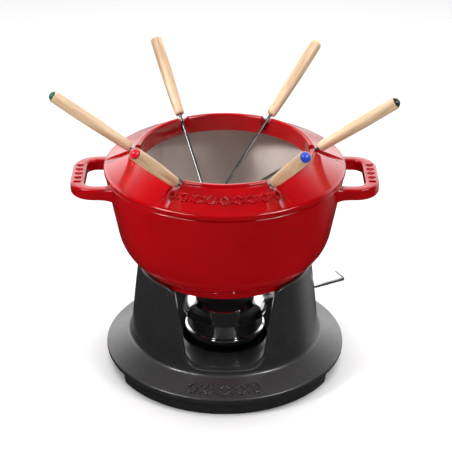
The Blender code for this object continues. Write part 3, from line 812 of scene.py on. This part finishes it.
def wood_mesh():
    """A turned handle with a bored lower end and a recess for the cap."""
    side = smooth_curve([(4.25 * MM, 6.0 * MM), (4.6 * MM, 18 * MM), (5.0 * MM, 34 * MM), (5.2 * MM, 50 * MM),
                         (5.1 * MM, 66 * MM), (4.95 * MM, HANDLE_END - 2.2 * MM)], 5)
    lower = [(1.65 * MM, 28.3 * MM), (1.65 * MM, 3.4 * MM), (1.9 * MM, 3.05 * MM)]
    lower += [(2.7 * MM, HANDLE_START), (3.35 * MM, 3.25 * MM), (3.85 * MM, 3.9 * MM), (4.1 * MM, 4.8 * MM)]
    upper = [(4.9 * MM, HANDLE_END - 1.0 * MM), (4.75 * MM, HANDLE_END - 0.3 * MM), (4.5 * MM, HANDLE_END),
             (4.3 * MM, HANDLE_END - 0.1 * MM), (4.2 * MM, HANDLE_END - 0.5 * MM),
             (4.2 * MM, HANDLE_END - 2.0 * MM), (0.0, HANDLE_END - 2.0 * MM)]
    mesh = turned_mesh("wood", [(0.0, 28.3 * MM)] + lower + side + upper, 40)
    mesh.transform(ALONG_X)
    return mesh


def quarter(radius, rise, base, steps):
    """A quarter of an ellipse from (radius, base) up toward the axis, without its top point."""
    turns = [math.radians(90 * step / steps) for step in range(steps)]
    return [(radius * math.cos(a), base + rise * math.sin(a)) for a in turns]


def cap_mesh():
    base = HANDLE_END - 1.7 * MM
    foot = [(0.0, base), (3.7 * MM, base), (3.9 * MM, base + 0.2 * MM)]
    dome = quarter(3.9 * MM, 3.3 * MM, HANDLE_END - 0.4 * MM, 12)
    mesh = turned_mesh("cap", foot + dome + [(0.0, HANDLE_END + 2.9 * MM)], 36)
    mesh.transform(ALONG_X)
    return mesh


def rod_mesh():
    """A round rod that flattens into a head with two pointed tines."""
    tip, head = 143 * MM, 126 * MM
    spread, slot, thick, rod = 3.0 * MM, 1.5 * MM, 0.75 * MM, 1.42 * MM
    sides = 16
    squareness = 0.62                  # of a flat section's corners: 1 is an ellipse
    turns = [math.tau * (step + 0.5) / sides for step in range(sides)]

    def oval(half_width, half_depth):
        return [(math.copysign(abs(math.cos(a)) ** squareness, math.cos(a)) * half_width,
                 math.copysign(abs(math.sin(a)) ** squareness, math.sin(a)) * half_depth) for a in turns]

    def tube(*stations):
        """Each station is its place along the rod, how far off the rod's axis it is, and its section."""
        add_tube(points, faces, [[(x, middle + across, up) for across, up in section]
                                 for x, middle, section in stations])

    points, faces = [], []
    circle = [(rod * math.cos(a), rod * math.sin(a)) for a in turns]
    tube((28 * MM, 0.0, circle), (-head + 14 * MM, 0.0, circle),
         (-head + 9 * MM, 0.0, oval(1.75 * MM, 1.2 * MM)), (-head + 4 * MM, 0.0, oval(2.7 * MM, 0.85 * MM)),
         (-head + 1 * MM, 0.0, oval(spread, thick)), (-head - 0.8 * MM, 0.0, oval(spread, thick)),
         (-head - 1.4 * MM, 0.0, oval(spread - 0.3 * MM, 0.6 * thick)))
    width = (spread - slot) / 2
    for side in (-1, 1):
        middle = side * (spread + slot) / 2
        tube((-head + 0.5 * MM, middle, oval(width, thick)), (-head - 10 * MM, middle, oval(width, thick)),
             (-tip + 3 * MM, middle, oval(0.7 * width, 0.8 * thick)),
             (-tip + 0.6 * MM, middle, oval(0.3 * width, 0.4 * thick)),
             (-tip, middle, oval(0.08 * width, 0.12 * thick)))
    return closed_mesh("rod", points, faces)


def make_forks():
    grain_turn = 47                    # degrees, so that each handle shows another side of its grain
    for number, (azimuth, turn, slope, colour_name) in FORKS.items():
        around = math.radians(azimuth)
        point = Vector((NOTCH_POINT[0] * math.cos(around), NOTCH_POINT[0] * math.sin(around), NOTCH_POINT[1]))
        lean = Matrix.Rotation(-math.radians(slope), 4, "Y")
        place = Matrix.Translation(point) @ turn_z(azimuth + turn) @ lean
        body = f"fork_{number}"
        wood = wood_mesh()
        wood.transform(Matrix.Rotation(math.radians(grain_turn * number), 4, "X"))
        piece(f"wood_{number}", wood, WOOD, body, [f"fork_{number}_handle"], place=place)
        piece(f"rod_{number}", rod_mesh(), ROD_STEEL, body, [f"fork_{number}_shaft"],
              place=place)
        piece(f"cap_{number}", cap_mesh(), make_cap_look(colour_name), body,
              [f"fork_{number}_cap"], place=place)


# ---- burner -----------------------------------------------------------------------------------
def dome_outline(offset, count=16):
    """The burner's dome from its shoulder up to the flame opening, moved out by offset."""
    span, rise = COVER_RADIUS - FLAME_RADIUS, COVER_TOP - SHOULDER_HEIGHT
    angles = [math.radians(88 * step / (count - 1)) for step in range(count)]
    return [(FLAME_RADIUS + (span + offset) * math.cos(a), SHOULDER_HEIGHT + (rise + offset) * math.sin(a))
            for a in angles]


def vented(mesh):
    """Cut the four square vents through a dome's shoulder."""
    tilt = Matrix.Rotation(-math.radians(48), 4, "Y")
    for azimuth in VENT_AZIMUTHS:
        block = box_mesh((-6 * MM, -3.5 * MM, -3.5 * MM), (6 * MM, 3.5 * MM, 3.5 * MM))
        block = with_modifiers(block, ("BEVEL", {"width": 0.7 * MM, "segments": 3}))
        place = turn_z(azimuth) @ Matrix.Translation((28.6 * MM, 0, 58 * MM)) @ tilt
        mesh = combined(mesh, block, "DIFFERENCE", place)
    return mesh


def make_burner_base():
    """The bowl, and the fuel cup in it with its pad and gauze. Corners are in millimetres."""
    bowl = rounded_mm([
        (0.0, 4.3, 0.0), (21.5, 4.3, 4.0), (25.4, 6.4, 5.0), (29.0, 11.5, 9.0), (32.4, 19.5, 9.0),
        (33.4, 28.0, 0.6), (34.6, 28.6, 0.7), (34.6, 30.6, 0.9), (32.8, 31.8, 0.8), (32.8, 43.6, 0.3),
        (32.0, 43.6, 0.3), (32.0, 23.0, 8.0), (28.2, 12.0, 8.0), (24.6, 7.0, 4.0), (21.2, 5.1, 3.0),
        (0.0, 5.1, 0.0),
    ], closed=False, segments=6)
    cup = rounded_mm([
        (0.0, 5.4, 0.0), (19.0, 5.4, 3.0), (23.0, 9.4, 4.0), (26.0, 17.4, 6.0), (26.0, 49.2, 0.2),
        (26.4, 49.9, 0.3), (25.6, 50.0, 0.3), (25.2, 49.2, 0.2), (25.2, 17.4, 6.0), (22.3, 9.9, 4.0),
        (18.6, 6.2, 3.0), (0.0, 6.2, 0.0),
    ], closed=False)
    pad = rounded_mm([
        (0.0, 6.5, 0.0), (18.0, 6.5, 3.0), (21.5, 10.7, 4.0), (24.4, 18.5, 6.0), (24.4, 44.0, 1.6),
        (0.0, 44.0, 0.0),
    ], closed=False)
    gauze = rounded_mm([
        (0.0, 44.3, 0.0), (24.6, 44.3, 0.3), (24.6, 46.3, 0.25), (23.9, 46.3, 0.25), (23.6, 45.0, 0.5),
        (12.0, 45.3, 0.0), (0.0, 45.4, 0.0),
    ], closed=False)
    body = "burner_base"
    piece("bowl", turned_mesh("bowl", bowl, BURNER_STEPS), CHROME, body, ["burner_bowl"])
    piece("cup", turned_mesh("cup", cup, 96), CUP_STEEL, body, ["fuel_cup"])
    piece("pad", turned_mesh("pad", pad, 64), WADDING, body, ["fuel_wadding"])
    piece("gauze", turned_mesh("gauze", gauze, 72), GAUZE, body, ["fuel_gauze"])


def make_burner_top():
    base = 43.9 * MM
    sheet = 0.8 * MM
    outline = [(COVER_RADIUS, base)] + dome_outline(0.0) + list(reversed(dome_outline(-sheet)))
    outline += [(33.5 * MM, base + sheet), (31.4 * MM, base + sheet), (31.4 * MM, base)]
    mesh = vented(turned_mesh("cover", outline, BURNER_STEPS))
    piece("cover", mesh, CHROME, "burner_top", ["burner_cover"], sharp=35)


def make_regulator():
    """The turning dome with its rolled edge and tab, the lever, the lever's hem and the two rivets."""
    edge = rounded([(34.7 * MM, SHOULDER_HEIGHT, 0.0), (34.7 * MM, SKIRT_HEIGHT, 0.25 * MM),
                    (36.1 * MM, SKIRT_HEIGHT, 0.4 * MM), (36.1 * MM, 45.2 * MM, 0.5 * MM),
                    (35.5 * MM, SHOULDER_HEIGHT, 0.0)], closed=False)[1:-1]
    outline = edge + dome_outline(1.2 * MM) + list(reversed(dome_outline(0.4 * MM)))
    mesh = vented(turned_mesh("regulator", outline, BURNER_STEPS))
    piece("regulator", mesh, CHROME, "regulator", ["regulator_ring"], sharp=35)

    place = turn_z(LEVER_AZIMUTH)
    tab = with_modifiers(box_mesh((35.4 * MM, -5 * MM, SKIRT_HEIGHT), (56 * MM, 5 * MM, 45.4 * MM)),
                         ("BEVEL", {"width": 0.35 * MM, "segments": 3}))
    piece("regulator_tab", tab, CHROME, "regulator", place=place)

    start, end = 37.5, 118.0
    half, top, depth, thick = 7.2 * MM, LEVER_HEIGHT, 3.2 * MM, 1.0 * MM
    corners = [(-half, top - depth, 0.2 * MM), (-half + thick, top - depth, 0.2 * MM),
               (-half + thick, top - thick, 0.5 * MM), (half - thick, top - thick, 0.5 * MM),
               (half - thick, top - depth, 0.2 * MM), (half, top - depth, 0.2 * MM),
               (half, top, 1.3 * MM), (-half, top, 1.3 * MM)]
    lever = prism_mesh(rounded(corners, segments=4), (end - start) * MM)
    lever = with_modifiers(lever, ("BEVEL", {"width": 0.2 * MM, "segments": 2, "limit_method": "ANGLE",
                                             "angle_limit": math.radians(60)}))
    lever.transform(face_on(start * MM))
    piece("lever", lever, LEVER_PLATE, "regulator", ["regulator_lever"], place=place)
    hem = box_mesh((116.4 * MM, 0.6 * MM - half, top - 0.4 * MM),
                   (117.8 * MM, half - 0.6 * MM, top + 0.4 * MM))
    hem = with_modifiers(hem, ("BEVEL", {"width": 0.3 * MM, "segments": 4}))
    piece("lever_hem", hem, CUP_STEEL, "regulator", place=place)

    under, over, rise, shank = 43.9 * MM, 47.0 * MM, 1.1 * MM, 1.5 * MM
    upper = quarter(2.7 * MM, rise, over, 8)
    lower = [(radius, under - (height - over)) for radius, height in reversed(upper)]
    outline = [(0.0, under - rise)] + lower + [(shank, under), (shank, over)] + upper + [(0.0, over + rise)]
    for number, reach in ((1, 43.0 * MM), (2, 51.0 * MM)):
        rivet = turned_mesh("rivet", outline, 32)
        rivet.transform(Matrix.Translation((reach, 0, 0)))
        piece(f"rivet_{number}", rivet, CUP_STEEL, "regulator", [f"lever_rivet_{number}"],
              place=place)


# ---- camera, floor and light --------------------------------------------------------------------
def make_camera():
    data = bpy.data.cameras.new("camera")
    data.lens = 116.4
    data.sensor_width = 36.0
    data.clip_end = 20.0
    camera = bpy.data.objects.new("camera", data)
    bpy.context.collection.objects.link(camera)
    camera.location = (0.001, -1.100, 0.687)
    camera.rotation_euler = (math.radians(62.88), 0.0, 0.0)
    bpy.context.scene.camera = camera


def make_floor():
    half = 4
    corners = [(-half, -half, 0), (half, -half, 0), (half, half, 0), (-half, half, 0)]
    mesh = mesh_of("floor", corners, [(0, 1, 2, 3)])
    floor = bpy.data.objects.new("floor", mesh)
    bpy.context.collection.objects.link(floor)
    look = Look("floor_white", 0.9)
    look.put("Base Color", (0.93, 0.93, 0.93, 1.0))
    look.put("Specular IOR Level", 0.0)
    mesh.materials.append(look.material)
    floor.visible_glossy = False


def softbox(name, place, target, size, power):
    """A white rectangular lamp of this size in metres and power in watts, turned to its target."""
    data = bpy.data.lights.new(name, "AREA")
    data.shape = "RECTANGLE"
    data.size, data.size_y = size
    data.energy = power
    lamp = bpy.data.objects.new(name, data)
    bpy.context.collection.objects.link(lamp)
    lamp.location = place
    lamp.rotation_euler = (Vector(target) - Vector(place)).to_track_quat("-Z", "Y").to_euler()
    return lamp


def make_world():
    """A studio that is bright on its far side and falls off to dark nearby, overhead and below."""
    world = bpy.data.worlds.new("studio")
    bpy.context.scene.world = world
    world.use_nodes = True
    nodes, links = world.node_tree.nodes, world.node_tree.links
    background = nodes["Background"]
    background.inputs["Color"].default_value = (1.0, 1.0, 1.0, 1.0)
    coords = nodes.new("ShaderNodeTexCoord")
    split = nodes.new("ShaderNodeSeparateXYZ")
    links.new(coords.outputs["Generated"], split.inputs["Vector"])

    def math_node(operation, first, second):
        node = nodes.new("ShaderNodeMath")
        node.operation = operation
        for socket, value in zip(node.inputs, (first, second)):
            if isinstance(value, float):
                socket.default_value = value
            else:
                links.new(value, socket)
        return node.outputs[0]

    def ramp(factor, low, high, start, end):
        node = nodes.new("ShaderNodeMapRange")
        node.interpolation_type = "SMOOTHSTEP"
        for socket, value in zip(("From Min", "From Max", "To Min", "To Max"), (start, end, low, high)):
            node.inputs[socket].default_value = value
        links.new(factor, node.inputs["Value"])
        return node.outputs["Result"]

    side = math_node("ABSOLUTE", split.outputs["X"], 0.0)
    far = math_node("ADD", split.outputs["Y"], math_node("MULTIPLY", side, 0.35))
    sweep = ramp(far, 0.0, 1.0, 0.45, 0.90)
    above = ramp(split.outputs["Z"], 1.0, 0.05, 0.20, 0.85)
    tilted = math_node("ADD", split.outputs["Z"], math_node("MULTIPLY", split.outputs["X"], 0.25))
    ground = ramp(tilted, 0.0, 1.0, -0.42, -0.14)
    below = math_node("MULTIPLY", ground, ramp(split.outputs["Z"], 0.32, 1.0, -0.10, 0.20))
    upright = math_node("MULTIPLY", above, below)
    brightest, darkest = 2.8, 0.015
    strength = math_node("MULTIPLY", math_node("MULTIPLY", sweep, upright), brightest)
    links.new(math_node("ADD", strength, darkest), background.inputs["Strength"])


def make_lights():
    """Lamps round the object. The strips only make highlights, and the ones hidden from gloss only fill."""
    aim = (0.0, 0.0, 0.15)

    def around(azimuth, elevation, distance):
        a, e = math.radians(azimuth), math.radians(elevation)
        return (distance * math.cos(a) * math.cos(e), distance * math.sin(a) * math.cos(e),
                aim[2] + distance * math.sin(e))

    mouth = softbox("mouth", around(203, 36, 0.9), (0.050, 0.020, 0.165), (0.16, 0.16), 0.12)
    mouth.data.spread = math.radians(16)
    mouth.visible_glossy = False
    softbox("front_left", around(207, 39, 1.25), aim, (0.24, 0.24), 4.0)
    softbox("front_right", around(325, 40, 1.25), aim, (0.24, 0.24), 4.0)
    for name, azimuth in (("strip_left", 214), ("strip_right", 326)):
        strip = softbox(name, around(azimuth, 45, 1.6), aim, (0.9, 0.24), 13.0)
        strip.visible_diffuse = False
    low = softbox("low_front", around(285, 20, 1.4), aim, (0.9, 0.5), 3.0)
    low.visible_glossy = False
    overhead = softbox("overhead", (0.0, 0.10, 1.5), aim, (1.6, 1.2), 28.0)
    overhead.visible_glossy = False


make_camera()
make_floor()
make_world()
make_lights()
make_stand()
make_pot()
make_guide_ring()
make_forks()
make_burner_base()
make_burner_top()
make_regulator()
bpy.context.scene.view_settings.view_transform = "Standard"
